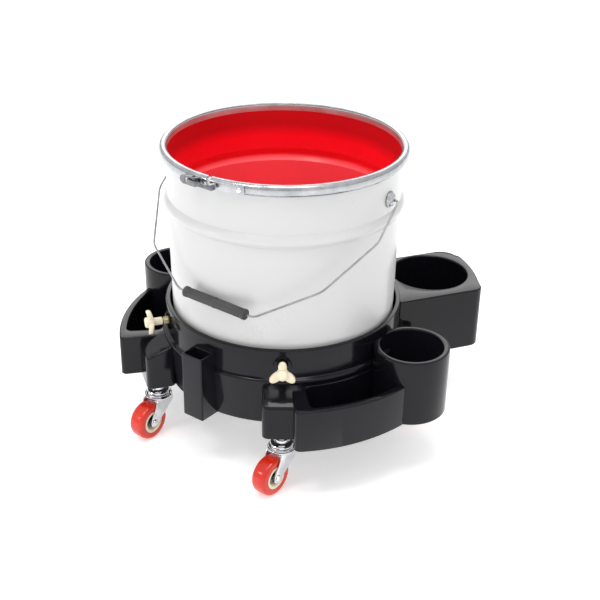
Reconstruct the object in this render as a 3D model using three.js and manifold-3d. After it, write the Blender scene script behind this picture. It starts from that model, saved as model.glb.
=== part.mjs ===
// A steel wash bucket with a lever-locked rim ring and a wire bail, clamped in a
// moulded rolling dolly with holders round it. Millimetres, +Z up, floor at Z = 0.
import * as THREE from 'three';
import { mergeVertices } from 'three/addons/utils/BufferGeometryUtils.js';
import Module from 'manifold-3d';

const wasm = await Module();
wasm.setup();

const DEGREE = Math.PI / 180;
const GAP = 0.3;

// The round counts: how many flat faces each kind of round piece has.
const PAIL_SIDES = 48;
const HOLDER_SIDES = 32;
const WHEEL_SIDES = 24;
const STEM_SIDES = 16;
const PIN_SIDES = 12;

// Heights that the pieces share.
const DOLLY_BASE_Z = 79.2;
const DOLLY_FLOOR_Z = 84.7;
const POCKET_FLOOR_Z = 83;
const RING_TOP_Z = 184;
const LEDGE_Z = 145;
const CLAMP_Z = 167;
const PAIL_FOOT_Z = 85;
const PAIL_BOTTOM_Z = 89;
const BEAD_Z = 326;
const EAR_Z = 353;
const RIM_TOP_Z = 397;
const LATCH_Z = 391.5;

// The pail.
const PAIL_FOOT_RADIUS = 146;
const PAIL_TOP_RADIUS = 149.6;
const PAIL_WALL = 1.2;
const BEAD_HALF_HEIGHT = 9;
const BEAD_BULGE = 5.1;
const LINING_TOP_Z = 389;

// The lock ring and its lever latch.
const LOCK_RING_RADIUS = 157.3;
const LATCH_AZIMUTH = 231;
const LATCH_PIVOT_RADIUS = 161.5;
const RING_SPLIT_AZIMUTH = 236;
const RING_SPLIT_WIDTH = 5;
const LATCH_HALF_HEIGHT = 5.5;
const LEVER_LENGTH = 19;
const LINK_PIVOT_ALONG = 9;
const LINK_PIVOT_OUT = 1;

// The bail and its grip.
const BAIL_AXIS_AZIMUTH = 328.5;
const BAIL_REACH = 195;
const BAIL_DROOP = 36;
const BAIL_WIRE_RADIUS = 1.6;
const GRIP_LENGTH = 94;
const GRIP_RADIUS = 6;
const GRIP_SLANT = -4;

// The dolly's plan.
const CASTER_STATIONS = [270, 198, 115, 53, 351];
const CLAMP_STATIONS = [270, 198, 53];
const MIRROR_AZIMUTH = 53;
const RING_RADIUS = 157;
const SKIRT_RADIUS = 161.5;
const SKIRT_FOOT_RADIUS = 157;
const WELL_RADIUS = 153;
const WELL_FOOT_RADIUS = 151;
const LIP_RADIUS = 151;
const CASTER_RADIUS = 176;
const HOUSING_RADIUS = 194;
const HOUSING_HALF_WIDTH = 25;
const HOUSING_CORNER = 12;
const TRAY_RADIUS = 221;
const TRAY_TOP_Z = 136;
const TRAY_START = 274;
const TRAY_END = 319;
const TRAY_POCKET_START = 279.5;
const TRAY_POCKET_END = 316;
const TRAY_RIM = 9.5;
const CUP_AZIMUTH = 325.5;
const CUP_CENTRE_RADIUS = 198;
const CUP_RADIUS = 48.5;
const CUP_HOLE_RADIUS = 40.5;
const CUP_TOP_Z = 169;
const BLOCK_AZIMUTH = 20;
const BLOCK_NEAR_SIDE = -53.3;
const BLOCK_FAR_SIDE = 78;
const BLOCK_BOW_RADIUS = 200;
const BLOCK_BOW_CENTRE = [95.5, 42];
const BLOCK_HOLE_CENTRE = [228.7, 18.6];
const BLOCK_HOLE_RADIUS = 54;
const BLOCK_NEAR_CORNER = { radius: 15, reach: 280 };
const BLOCK_FAR_CORNER = { radius: 24, reach: 291.5 };
const BLOCK_TOP_Z = 169;
const BOX_AZIMUTH = 232.5;
const BOX_RADIUS = 185.5;
const BOX_HALF_WIDTH = 16;
const BOX_WALL = 2.5;
const BOX_TOP_Z = 169;

// A caster.
const WHEEL_RADIUS = 25.4;
const WHEEL_HALF_WIDTH = 10;
const CASTER_TRAIL = 22;
const TRAIL_AZIMUTHS = [230, 232, 250, 60, 105];
const FORK_HALF_WIDTH = 13.2;
const FORK_METAL = 2;
const FORK_TOP_Z = 56.2;
const RACE_TOP_Z = 60;
const STEM_RADIUS = 5.9;
const STEM_TOP_Z = 114;
const AXLE_RADIUS = 2.9;

// A clamp.
const SCREW_RADIUS = 3;
const INSERT_ACROSS = 5.6;
const INSERT_OUTER_RADIUS = 165;
const KNOB_START_RADIUS = 166.3;
const KNOB_WAIST = 6.6;
const KNOB_LOBE_REACH = 17.8;

function flipWhereInsideOut(positions, triangles) {
  let volume = 0;
  const a = new THREE.Vector3();
  const b = new THREE.Vector3();
  const c = new THREE.Vector3();
  for (let i = 0; i < triangles.length; i += 3) {
    a.fromArray(positions, triangles[i] * 3);
    b.fromArray(positions, triangles[i + 1] * 3);
    c.fromArray(positions, triangles[i + 2] * 3);
    volume += a.dot(b.cross(c));
  }
  if (volume < 0) {
    for (let i = 0; i < triangles.length; i += 3) {
      const kept = triangles[i + 1];
      triangles[i + 1] = triangles[i + 2];
      triangles[i + 2] = kept;
    }
  }
}

function solidFrom(geometry) {
  const bare = geometry.index ? geometry.toNonIndexed() : geometry.clone();
  bare.deleteAttribute('normal');
  bare.deleteAttribute('uv');
  const welded = mergeVertices(bare, 1e-4);
  const positions = new Float32Array(welded.attributes.position.array);
  const corners = welded.index.array;
  const triangles = [];
  for (let i = 0; i < corners.length; i += 3) {
    const [a, b, c] = [corners[i], corners[i + 1], corners[i + 2]];
    if (a !== b && b !== c && c !== a) triangles.push(a, b, c);
  }
  flipWhereInsideOut(positions, triangles);
  const triVerts = new Uint32Array(triangles);
  return new wasm.Manifold(new wasm.Mesh({ numProp: 3, vertProperties: positions, triVerts }));
}

function geometryFrom(solid) {
  const mesh = solid.getMesh();
  const geometry = new THREE.BufferGeometry();
  geometry.setAttribute('position', new THREE.BufferAttribute(new Float32Array(mesh.vertProperties), 3));
  geometry.setIndex(new THREE.BufferAttribute(new Uint32Array(mesh.triVerts), 1));
  geometry.computeVertexNormals();
  return geometry;
}

// Turns a closed profile of [radius, height] corners about the Z axis.
function revolve(profile, sides) {
  const corners = profile.map(([radius, height]) => new THREE.Vector2(radius, height));
  corners.push(corners[0].clone());
  const geometry = new THREE.LatheGeometry(corners, sides);
  geometry.rotateX(90 * DEGREE);
  return solidFrom(geometry);
}

function rod(radius, low, high, sides) {
  return revolve([[0, low], [radius, low], [radius, high], [0, high]], sides);
}

// Raises an outline of [x, y] corners from one height to another.
function prism(outline, low, high) {
  const shape = new THREE.Shape(outline.map(([x, y]) => new THREE.Vector2(x, y)));
  const geometry = new THREE.ExtrudeGeometry(shape, { depth: high - low, bevelEnabled: false });
  geometry.translate(0, 0, low);
  return solidFrom(geometry);
}

// Spreads an outline of [x, z] corners along Y, from one side to the other.
function slab(outline, nearSide, farSide) {
  const raised = prism(outline, -farSide, -nearSide);
  return raised.rotate([90, 0, 0]);
}

function block(x0, x1, y0, y1, z0, z1) {
  return prism([[x0, y0], [x1, y0], [x1, y1], [x0, y1]], z0, z1);
}

// Stands a piece at an azimuth, its own +X pointing outward.
function standAt(solid, azimuth, radius) {
  return solid.translate([radius, 0, 0]).rotate([0, 0, azimuth]);
}

// Points a piece's own +Z outward at an azimuth and height.
function pointOutward(solid, azimuth, height) {
  return solid.rotate([0, 90, 0]).translate([0, 0, height]).rotate([0, 0, azimuth]);
}

function arc(radius, from, to, steps, centreX = 0, centreY = 0) {
  const points = [];
  for (let i = 0; i <= steps; i += 1) {
    const angle = (from + ((to - from) * i) / steps) * DEGREE;
    points.push([centreX + radius * Math.cos(angle), centreY + radius * Math.sin(angle)]);
  }
  return points;
}

function pointAt(radius, azimuth) {
  return [radius * Math.cos(azimuth * DEGREE), radius * Math.sin(azimuth * DEGREE)];
}

function pailWallRadius(height) {
  const share = (height - PAIL_BOTTOM_Z) / (BEAD_Z - PAIL_BOTTOM_Z);
  return PAIL_FOOT_RADIUS + (PAIL_TOP_RADIUS - PAIL_FOOT_RADIUS) * Math.min(share, 1);
}

// ---- the pail -------------------------------------------------------------

function beadProfile(wallRadius) {
  const points = [];
  for (let i = 0; i <= 4; i += 1) {
    const share = i / 4;
    const bulge = Math.sin(share * Math.PI) ** 0.8 * BEAD_BULGE;
    points.push([wallRadius + bulge, BEAD_Z - BEAD_HALF_HEIGHT + 2 * BEAD_HALF_HEIGHT * share]);
  }
  return points;
}

function makeBucketShell() {
  const outside = [
    [0, PAIL_BOTTOM_Z],
    [141.5, PAIL_BOTTOM_Z],
    [142.5, PAIL_FOOT_Z],
    [146.6, PAIL_FOOT_Z],
    [147, PAIL_FOOT_Z + 2],
    [146.8, PAIL_FOOT_Z + 6],
    [PAIL_FOOT_RADIUS, PAIL_FOOT_Z + 8],
    ...beadProfile(PAIL_TOP_RADIUS),
    [PAIL_TOP_RADIUS, RIM_TOP_Z - 11.1],
    [152, RIM_TOP_Z - 10],
    [155.3, RIM_TOP_Z - 8],
    [155.8, RIM_TOP_Z - 5],
    [155.3, RIM_TOP_Z - 2],
    [153, RIM_TOP_Z],
    [150, RIM_TOP_Z],
  ];
  const innerTop = PAIL_TOP_RADIUS - PAIL_WALL;
  const inside = [
    [innerTop, RIM_TOP_Z - 2],
    ...beadProfile(innerTop).reverse(),
    [PAIL_FOOT_RADIUS - PAIL_WALL, PAIL_FOOT_Z + 8],
    [PAIL_FOOT_RADIUS - PAIL_WALL, PAIL_BOTTOM_Z + PAIL_WALL],
    [0, PAIL_BOTTOM_Z + PAIL_WALL],
  ];
  return revolve([...outside, ...inside], PAIL_SIDES);
}

function makeBucketLining() {
  const back = PAIL_TOP_RADIUS - PAIL_WALL - GAP;
  const foot = PAIL_FOOT_RADIUS - PAIL_WALL - GAP;
  const floor = PAIL_BOTTOM_Z + PAIL_WALL + GAP;
  const skin = 0.8;
  return revolve([
    [0, floor],
    [foot, floor],
    [foot, PAIL_FOOT_Z + 8],
    ...beadProfile(back),
    [back, LINING_TOP_Z],
    [back - skin, LINING_TOP_Z],
    ...beadProfile(back - skin).reverse(),
    [foot - skin, PAIL_FOOT_Z + 14],
    [foot - skin - 4, floor + skin],
    [0, floor + skin],
  ], PAIL_SIDES);
}

function makeLockRing() {
  const ring = revolve([
    [149.2, RIM_TOP_Z + 1.6],
    [151, RIM_TOP_Z + 2],
    [155, RIM_TOP_Z + 2],
    [156.8, RIM_TOP_Z + 0.6],
    [LOCK_RING_RADIUS, RIM_TOP_Z - 2],
    [LOCK_RING_RADIUS, RIM_TOP_Z - 8],
    [155.8, RIM_TOP_Z - 11.6],
    [154, RIM_TOP_Z - 12.4],
    [150.2, RIM_TOP_Z - 12.4],
    [150.2, RIM_TOP_Z - 11.6],
    [154.6, RIM_TOP_Z - 11.4],
    [156.2, RIM_TOP_Z - 8],
    [156.2, RIM_TOP_Z - 1],
    [154.6, RIM_TOP_Z + 0.9],
    [149.2, RIM_TOP_Z + 0.9],
  ], PAIL_SIDES);
  const half = RING_SPLIT_WIDTH / 2;
  const split = block(140, 165, -half, half, RIM_TOP_Z - 20, RIM_TOP_Z + 10).rotate([0, 0, RING_SPLIT_AZIMUTH]);
  return ring.subtract(split);
}

// The latch pieces are drawn round the lever's pivot: +X runs along the ring towards
// the lever's free end, +Y points outward and Z is measured from the ring's middle.
function seatLatch(solid) {
  const azimuth = LATCH_AZIMUTH * DEGREE;
  const seat = [LATCH_PIVOT_RADIUS * Math.cos(azimuth), LATCH_PIVOT_RADIUS * Math.sin(azimuth), LATCH_Z];
  return solid.rotate([0, 0, LATCH_AZIMUTH - 90]).translate(seat);
}

function ringBand(fromAzimuth, toAzimuth, inner, outer, halfHeight) {
  const steps = 6;
  const outline = [...arc(outer, fromAzimuth, toAzimuth, steps), ...arc(inner, toAzimuth, fromAzimuth, steps)];
  return prism(outline, LATCH_Z - halfHeight, LATCH_Z + halfHeight);
}

function makeLatchBracket() {
  const plate = ringBand(228.4, 233.4, 157.7, 158.5, 4.2);
  const lug = arc(1.9, 0, 180, 6);
  lug.push([-2.6, -3.4], [2.6, -3.4]);
  let posts = rod(1.5, -LATCH_HALF_HEIGHT, LATCH_HALF_HEIGHT, PIN_SIDES);
  posts = posts.add(prism(lug, -LATCH_HALF_HEIGHT, -3.7));
  posts = posts.add(prism(lug, 3.7, LATCH_HALF_HEIGHT));
  return plate.add(seatLatch(posts));
}

function makeLatchLever() {
  const high = LATCH_HALF_HEIGHT;
  let lever = block(-0.8, LEVER_LENGTH, 2.2, 3.5, -high, high);
  const tip = arc(4.5, -90, 90, 6, LEVER_LENGTH - 0.4, 0);
  const tab = slab(tip.map(([x, z]) => [x, z * 1.1]), 2.2, 3.5);
  lever = lever.add(tab);
  lever = lever.add(block(6, LEVER_LENGTH - 2, -2.1, 2.4, -high, -high + 1));
  lever = lever.add(block(6, LEVER_LENGTH - 2, -2.1, 2.4, high - 1, high));
  lever = lever.add(rod(2.6, -3.3, 3.3, PIN_SIDES));
  lever = lever.subtract(rod(1.9, -4, 4, PIN_SIDES));
  lever = lever.subtract(block(5, 15, 2, 4, -3.2, 3.2));
  const pin = rod(1.05, -high + 0.5, high - 0.5, PIN_SIDES);
  lever = lever.add(pin.translate([LINK_PIVOT_ALONG, LINK_PIVOT_OUT, 0]));
  return seatLatch(lever);
}

function makeLatchLink() {
  const half = 2.6;
  let link = rod(2.6, -half, half, PIN_SIDES);
  link = link.add(block(-1.6, 1.5, 1.2, 3.2, -half, half));
  link = link.add(block(-37, 1.5, 3, 4.2, -half, half));
  link = link.add(block(-37, -35.6, -2.6, 3.2, -half, half));
  link = link.subtract(rod(1.6, -half - 1, half + 1, PIN_SIDES));
  return seatLatch(link.translate([LINK_PIVOT_ALONG, LINK_PIVOT_OUT, 0]));
}

function makeLatchStrap() {
  const strap = ringBand(239.2, 253.4, 157.8, 159, LATCH_HALF_HEIGHT - 0.4);
  const tab = seatLatch(block(-25.9, -24.5, -6, 3.4, -4, 4));
  return strap.add(tab);
}

function makeStrapRivet() {
  const head = revolve([[0, 0], [3.1, 0], [2.7, 0.8], [1.5, 1.4], [0, 1.6]], PIN_SIDES);
  return pointOutward(head.translate([0, 0, 159 + GAP]), 251, LATCH_Z);
}

function makeEar(azimuth) {
  const bore = BAIL_WIRE_RADIUS + GAP;
  const ear = revolve([
    [bore, 150.1],
    [10, 150.1],
    [10, 151.6],
    [8.6, 154.2],
    [5.4, 156.4],
    [bore, 157],
  ], 20);
  return pointOutward(ear, azimuth, EAR_Z);
}

// Puts a piece drawn in the bail's own plane (X along the hinge axis, Y away from it)
// at the bail's resting angle against the pail.
function seatBail(solid) {
  return solid.rotate([-BAIL_DROOP, 0, 0]).rotate([0, 0, BAIL_AXIS_AZIMUTH - 180])
    .translate([0, 0, EAR_Z]);
}

function roundCorners(corners, reach, steps) {
  const points = [corners[0]];
  for (let i = 1; i < corners.length - 1; i += 1) {
    const here = new THREE.Vector2(...corners[i]);
    const before = new THREE.Vector2(...corners[i - 1]);
    const after = new THREE.Vector2(...corners[i + 1]);
    const cut = Math.min(reach, here.distanceTo(before) / 2.5, here.distanceTo(after) / 2.5);
    const start = here.clone().add(before.sub(here).setLength(cut));
    const end = here.clone().add(after.sub(here).setLength(cut));
    const bend = new THREE.QuadraticBezierCurve(start, here, end);
    bend.getPoints(steps).forEach((point) => points.push([point.x, point.y]));
  }
  points.push(corners[corners.length - 1]);
  return points;
}

// Carries a round section along a flat path of [x, y] corners.
function wire(path, radius, sides) {
  const positions = [];
  const triangles = [];
  path.forEach((corner, i) => {
    const here = new THREE.Vector2(...corner);
    const back = i > 0 ? here.clone().sub(new THREE.Vector2(...path[i - 1])).normalize() : null;
    const ahead = i < path.length - 1 ? new THREE.Vector2(...path[i + 1]).sub(here).normalize() : null;
    const along = (back && ahead ? back.clone().add(ahead) : back || ahead).normalize();
    const stretch = back ? 1 / Math.max(along.dot(back), 0.5) : 1;
    for (let k = 0; k < sides; k += 1) {
      const angle = (k / sides) * 2 * Math.PI;
      const side = Math.cos(angle) * radius * stretch;
      positions.push(here.x - along.y * side, here.y + along.x * side, Math.sin(angle) * radius);
    }
  });
  const last = path.length - 1;
  for (let i = 0; i < last; i += 1) {
    for (let k = 0; k < sides; k += 1) {
      const a = i * sides + k;
      const b = i * sides + ((k + 1) % sides);
      triangles.push(a, b, b + sides, a, b + sides, a + sides);
    }
  }
  for (let k = 1; k < sides - 1; k += 1) {
    triangles.push(0, k + 1, k, last * sides, last * sides + k, last * sides + k + 1);
  }
  const geometry = new THREE.BufferGeometry();
  geometry.setAttribute('position', new THREE.Float32BufferAttribute(positions, 3));
  geometry.setIndex(triangles);
  return solidFrom(geometry);
}

function makeBailWire() {
  const leg = [[150.9, 0], [160.8, 0], [162, 4], [162, 62], [124, 143]];
  const otherLeg = leg.map(([x, y]) => [-x, y]).reverse();
  const gripEnd = GRIP_LENGTH / 2 + 10;
  const rise = gripEnd * Math.tan(GRIP_SLANT * DEGREE);
  const middle = [[gripEnd, BAIL_REACH + rise], [-gripEnd, BAIL_REACH - rise]];
  const path = roundCorners([...leg, ...middle, ...otherLeg], 9, 3);
  return seatBail(wire(path, BAIL_WIRE_RADIUS, 8));
}

function makeGrip() {
  const end = GRIP_LENGTH / 2;
  const bore = BAIL_WIRE_RADIUS + GAP;
  const collar = GRIP_RADIUS + 0.9;
  const grip = revolve([
    [bore, -end],
    [GRIP_RADIUS, -end],
    [collar, -end + 1],
    [collar, -end + 5],
    [GRIP_RADIUS, -end + 6],
    [GRIP_RADIUS, -2.5],
    [collar, -1.5],
    [collar, 1.5],
    [GRIP_RADIUS, 2.5],
    [GRIP_RADIUS, end - 6],
    [collar, end - 5],
    [collar, end - 1],
    [GRIP_RADIUS, end],
    [bore, end],
  ], STEM_SIDES);
  return seatBail(grip.rotate([0, 90, 0]).rotate([0, 0, GRIP_SLANT]).translate([0, BAIL_REACH, 0]));
}

// ---- the dolly ------------------------------------------------------------

function makeWellRing() {
  return revolve([
    [LIP_RADIUS, RING_TOP_Z],
    [RING_RADIUS - 1, RING_TOP_Z],
    [RING_RADIUS, RING_TOP_Z - 1.2],
    [RING_RADIUS + 0.3, LEDGE_Z + 2],
    [RING_RADIUS + 1, LEDGE_Z + 0.6],
    [SKIRT_RADIUS, LEDGE_Z],
    [SKIRT_RADIUS + 1, LEDGE_Z - 1.4],
    [SKIRT_RADIUS + 0.7, LEDGE_Z - 4.4],
    [SKIRT_FOOT_RADIUS, DOLLY_BASE_Z],
    [SKIRT_FOOT_RADIUS - 3, DOLLY_BASE_Z],
    [SKIRT_FOOT_RADIUS - 4, DOLLY_FLOOR_Z - 3.5],
    [62, DOLLY_FLOOR_Z - 3.5],
    [60, DOLLY_FLOOR_Z],
    [WELL_FOOT_RADIUS, DOLLY_FLOOR_Z],
    [WELL_RADIUS, LEDGE_Z],
    [WELL_RADIUS, RING_TOP_Z - 4],
    [LIP_RADIUS, RING_TOP_Z - 2],
  ], PAIL_SIDES);
}

function makeWellSpace() {
  return revolve([
    [0, DOLLY_FLOOR_Z],
    [WELL_FOOT_RADIUS, DOLLY_FLOOR_Z],
    [WELL_RADIUS, LEDGE_Z],
    [WELL_RADIUS, RING_TOP_Z - 4],
    [LIP_RADIUS, RING_TOP_Z - 2],
    [LIP_RADIUS, RING_TOP_Z + 20],
    [0, RING_TOP_Z + 20],
  ], PAIL_SIDES);
}

function makeCasterHousing(azimuth) {
  const corner = HOUSING_CORNER;
  const side = HOUSING_HALF_WIDTH;
  const outline = [
    [150, -side],
    ...arc(corner, -90, 0, 5, HOUSING_RADIUS - corner, -side + corner),
    ...arc(corner, 0, 90, 5, HOUSING_RADIUS - corner, side - corner),
    [150, side],
  ];
  const plan = prism(outline, DOLLY_BASE_Z, LEDGE_Z);
  const crown = slab([
    [150, 70],
    [200, 70],
    [200, LEDGE_Z - 22],
    [192, LEDGE_Z - 19],
    [184, LEDGE_Z - 15],
    [161, LEDGE_Z - 6],
    [150, LEDGE_Z - 2],
  ], -40, 40);
  return plan.intersect(crown).rotate([0, 0, azimuth]);
}

function traySector(inner, outer, from, to, low, high, corner) {
  const turn = (corner / outer) / DEGREE;
  const outline = [
    ...arc(inner, to, from, 8),
    pointAt(outer - corner, from),
    pointAt(outer - corner * 0.3, from + turn * 0.3),
    ...arc(outer, from + turn, to - turn, 8),
    pointAt(outer - corner * 0.3, to - turn * 0.3),
    pointAt(outer - corner, to),
  ];
  return prism(outline, low, high);
}

function flipAcrossDolly(solid) {
  return solid.mirror([-Math.sin(MIRROR_AZIMUTH * DEGREE), Math.cos(MIRROR_AZIMUTH * DEGREE), 0]);
}

function blockOutline() {
  const near = BLOCK_NEAR_CORNER;
  const far = BLOCK_FAR_CORNER;
  const nearCorner = arc(near.radius, -90, -28, 4, near.reach - near.radius, BLOCK_NEAR_SIDE + near.radius);
  const farCorner = arc(far.radius, 12, 90, 4, far.reach - far.radius, BLOCK_FAR_SIDE - far.radius);
  const outerWall = arc(BLOCK_BOW_RADIUS, -20, 3, 8, ...BLOCK_BOW_CENTRE);
  return [[150, BLOCK_NEAR_SIDE], ...nearCorner, ...outerWall, ...farCorner, [150, BLOCK_FAR_SIDE]];
}

function makeDollyBody() {
  let body = makeWellRing();
  for (const azimuth of CASTER_STATIONS) {
    body = body.add(makeCasterHousing(azimuth));
  }
  const tray = traySector(155, TRAY_RADIUS, TRAY_START, TRAY_END, DOLLY_BASE_Z, TRAY_TOP_Z, 8);
  const trayPocket = traySector(
    165, TRAY_RADIUS - TRAY_RIM, TRAY_POCKET_START, TRAY_POCKET_END, POCKET_FLOOR_Z, 200, 6,
  );
  const cupRod = rod(CUP_RADIUS, DOLLY_BASE_Z, CUP_TOP_Z, HOLDER_SIDES);
  const cup = standAt(cupRod, CUP_AZIMUTH, CUP_CENTRE_RADIUS);
  const cupHoleRod = rod(CUP_HOLE_RADIUS, POCKET_FLOOR_Z, 200, HOLDER_SIDES);
  const cupHole = standAt(cupHoleRod, CUP_AZIMUTH, CUP_CENTRE_RADIUS);
  const pocketBlock = prism(blockOutline(), DOLLY_BASE_Z, BLOCK_TOP_Z).rotate([0, 0, BLOCK_AZIMUTH]);
  const roundPocket = rod(BLOCK_HOLE_RADIUS, POCKET_FLOOR_Z, 200, HOLDER_SIDES);
  const keepRing = rod(SKIRT_RADIUS + 2.5, 70, 210, PAIL_SIDES);
  const holeInBlock = roundPocket.translate([...BLOCK_HOLE_CENTRE, 0]).rotate([0, 0, BLOCK_AZIMUTH]);
  const blockHole = holeInBlock.subtract(keepRing);
  const trayOnly = tray.subtract(trayPocket.subtract(cup));
  const side = trayOnly.add(cup.subtract(cupHole)).add(pocketBlock.subtract(blockHole));
  body = body.add(side).add(flipAcrossDolly(side));
  const box = block(150, BOX_RADIUS, -BOX_HALF_WIDTH, BOX_HALF_WIDTH, DOLLY_BASE_Z, BOX_TOP_Z);
  const slotHalf = BOX_HALF_WIDTH - BOX_WALL;
  const slot = block(SKIRT_RADIUS + 1.5, BOX_RADIUS - BOX_WALL, -slotHalf, slotHalf, POCKET_FLOOR_Z, 200);
  body = body.add(box.subtract(slot).rotate([0, 0, BOX_AZIMUTH]));
  body = body.subtract(cupHole).subtract(flipAcrossDolly(cupHole));
  body = body.subtract(makeWellSpace());
  for (const azimuth of CASTER_STATIONS) {
    const stemBore = rod(STEM_RADIUS + GAP, 60, STEM_TOP_Z + GAP, STEM_SIDES);
    body = body.subtract(standAt(stemBore, azimuth, CASTER_RADIUS));
  }
  for (const azimuth of CLAMP_STATIONS) {
    body = body.subtract(pointOutward(rod(INSERT_ACROSS + GAP, 148, 170, 6), azimuth, CLAMP_Z));
  }
  return body;
}

// ---- the clamps -----------------------------------------------------------

function makeClampInsert(azimuth) {
  const hex = rod(INSERT_ACROSS, 151.6, INSERT_OUTER_RADIUS, 6);
  const bore = rod(SCREW_RADIUS + GAP, 148, 170, PIN_SIDES);
  return pointOutward(hex.subtract(bore), azimuth, CLAMP_Z);
}

function makeClampScrew(azimuth) {
  const tip = pailWallRadius(CLAMP_Z) + GAP;
  const screw = revolve([
    [0, tip],
    [SCREW_RADIUS - 0.8, tip],
    [SCREW_RADIUS, tip + 1],
    [SCREW_RADIUS, KNOB_START_RADIUS + 13],
    [0, KNOB_START_RADIUS + 13],
  ], PIN_SIDES);
  return pointOutward(screw, azimuth, CLAMP_Z);
}

function makeClampKnob(azimuth) {
  const lobes = [];
  const count = 24;
  for (let i = 0; i < count; i += 1) {
    const angle = (i / count) * 2 * Math.PI;
    const swell = (0.5 - 0.5 * Math.cos(3 * angle)) ** 1.5;
    const reach = KNOB_WAIST + (KNOB_LOBE_REACH - KNOB_WAIST) * swell;
    lobes.push([reach * Math.cos(angle), reach * Math.sin(angle)]);
  }
  let knob = revolve([[0, 0], [5, 0], [5.4, 1], [5.2, 13], [6.6, 21], [5, 22.4], [0, 23]], PIN_SIDES);
  knob = knob.add(prism(lobes, 13, 20));
  knob = knob.subtract(rod(SCREW_RADIUS + GAP, -1, 13 + GAP, PIN_SIDES));
  return pointOutward(knob.translate([0, 0, KNOB_START_RADIUS]), azimuth, CLAMP_Z);
}

// ---- the casters ----------------------------------------------------------

// A caster is drawn with its swivel axis on Z and its wheel trailing towards +X.
function seatCaster(solid, azimuth) {
  const angle = azimuth * DEGREE;
  const trail = TRAIL_AZIMUTHS[CASTER_STATIONS.indexOf(azimuth)];
  const seat = [CASTER_RADIUS * Math.cos(angle), CASTER_RADIUS * Math.sin(angle), 0];
  return solid.rotate([0, 0, trail]).translate(seat);
}

function alongAxle(solid) {
  return solid.rotate([90, 0, 0]).translate([CASTER_TRAIL, 0, WHEEL_RADIUS]);
}

function makeCasterStem(azimuth) {
  const low = RACE_TOP_Z + GAP;
  const stem = revolve([
    [0, low],
    [12.5, low],
    [14.8, low + 2],
    [14, low + 4],
    [8.5, low + 6],
    [8, low + 10],
    [STEM_RADIUS, low + 11],
    [STEM_RADIUS, STEM_TOP_Z],
    [0, STEM_TOP_Z],
  ], STEM_SIDES);
  return seatCaster(stem, azimuth);
}

function makeCasterFork(azimuth) {
  const under = FORK_TOP_Z - FORK_METAL;
  const inner = FORK_HALF_WIDTH - FORK_METAL;
  let fork = revolve([
    [0, under],
    [16.6, under],
    [18.3, FORK_TOP_Z - 0.5],
    [18.3, RACE_TOP_Z - 2],
    [15.5, RACE_TOP_Z],
    [0, RACE_TOP_Z],
  ], STEM_SIDES);
  fork = fork.add(block(-14, 14, -FORK_HALF_WIDTH, FORK_HALF_WIDTH, under, FORK_TOP_Z));
  const leg = [
    [-14, FORK_TOP_Z - 0.3],
    [-14, 46],
    ...arc(7, 215, 395, 5, CASTER_TRAIL, WHEEL_RADIUS),
    [15, 50],
    [14, FORK_TOP_Z - 0.3],
  ];
  fork = fork.add(slab(leg, inner, FORK_HALF_WIDTH));
  fork = fork.add(slab(leg, -FORK_HALF_WIDTH, -inner));
  fork = fork.subtract(alongAxle(rod(AXLE_RADIUS + GAP, -20, 20, PIN_SIDES)));
  return seatCaster(fork, azimuth);
}

function makeCasterAxle(azimuth) {
  const reach = FORK_HALF_WIDTH + GAP;
  const axle = revolve([
    [0, -reach - 1.8],
    [3.6, -reach - 1.6],
    [4.6, -reach],
    [AXLE_RADIUS, -reach],
    [AXLE_RADIUS, reach],
    [4.6, reach],
    [3.6, reach + 1.6],
    [0, reach + 1.8],
  ], PIN_SIDES);
  return seatCaster(alongAxle(axle), azimuth);
}

function makeWheelHub(azimuth) {
  const bore = AXLE_RADIUS + GAP;
  const half = [[bore, 10.9], [7.2, 10.9], [8, 8.4], [12.4, 8.4], [13.4, 10], [15.2, 10]];
  const otherHalf = half.map(([radius, along]) => [radius, -along]).reverse();
  return seatCaster(alongAxle(revolve([...half, ...otherHalf], STEM_SIDES)), azimuth);
}

function makeTyre(azimuth) {
  const edge = WHEEL_HALF_WIDTH + 0.4;
  const half = [[15.5, edge], [WHEEL_RADIUS - 3, edge], [WHEEL_RADIUS - 0.8, 8], [WHEEL_RADIUS, 4]];
  const otherHalf = half.map(([radius, along]) => [radius, -along]).reverse();
  return seatCaster(alongAxle(revolve([...half, ...otherHalf], WHEEL_SIDES)), azimuth);
}

// ---- putting it together --------------------------------------------------

const LACQUER = { color: 0xe6e6e4, roughness: 0.3, metalness: 0 };
const RED = { color: 0xd5121f, roughness: 0.35, metalness: 0 };
const ZINC = { color: 0xb9bfc3, roughness: 0.3, metalness: 0.9 };
const BLACK_PLASTIC = { color: 0x17171b, roughness: 0.2, metalness: 0 };
const GRIP_PLASTIC = { color: 0x3d3e40, roughness: 0.5, metalness: 0 };
const BRASS = { color: 0xa88e4e, roughness: 0.35, metalness: 0.9 };
const CREAM = { color: 0xf5ecd0, roughness: 0.35, metalness: 0 };
const POLYURETHANE = { color: 0xee3a1a, roughness: 0.25, metalness: 0 };

const assembly = new THREE.Group();
assembly.name = 'wash_bucket';

function addPiece(name, solid, look) {
  const mesh = new THREE.Mesh(geometryFrom(solid), new THREE.MeshStandardMaterial(look));
  mesh.name = name;
  assembly.add(mesh);
}

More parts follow.
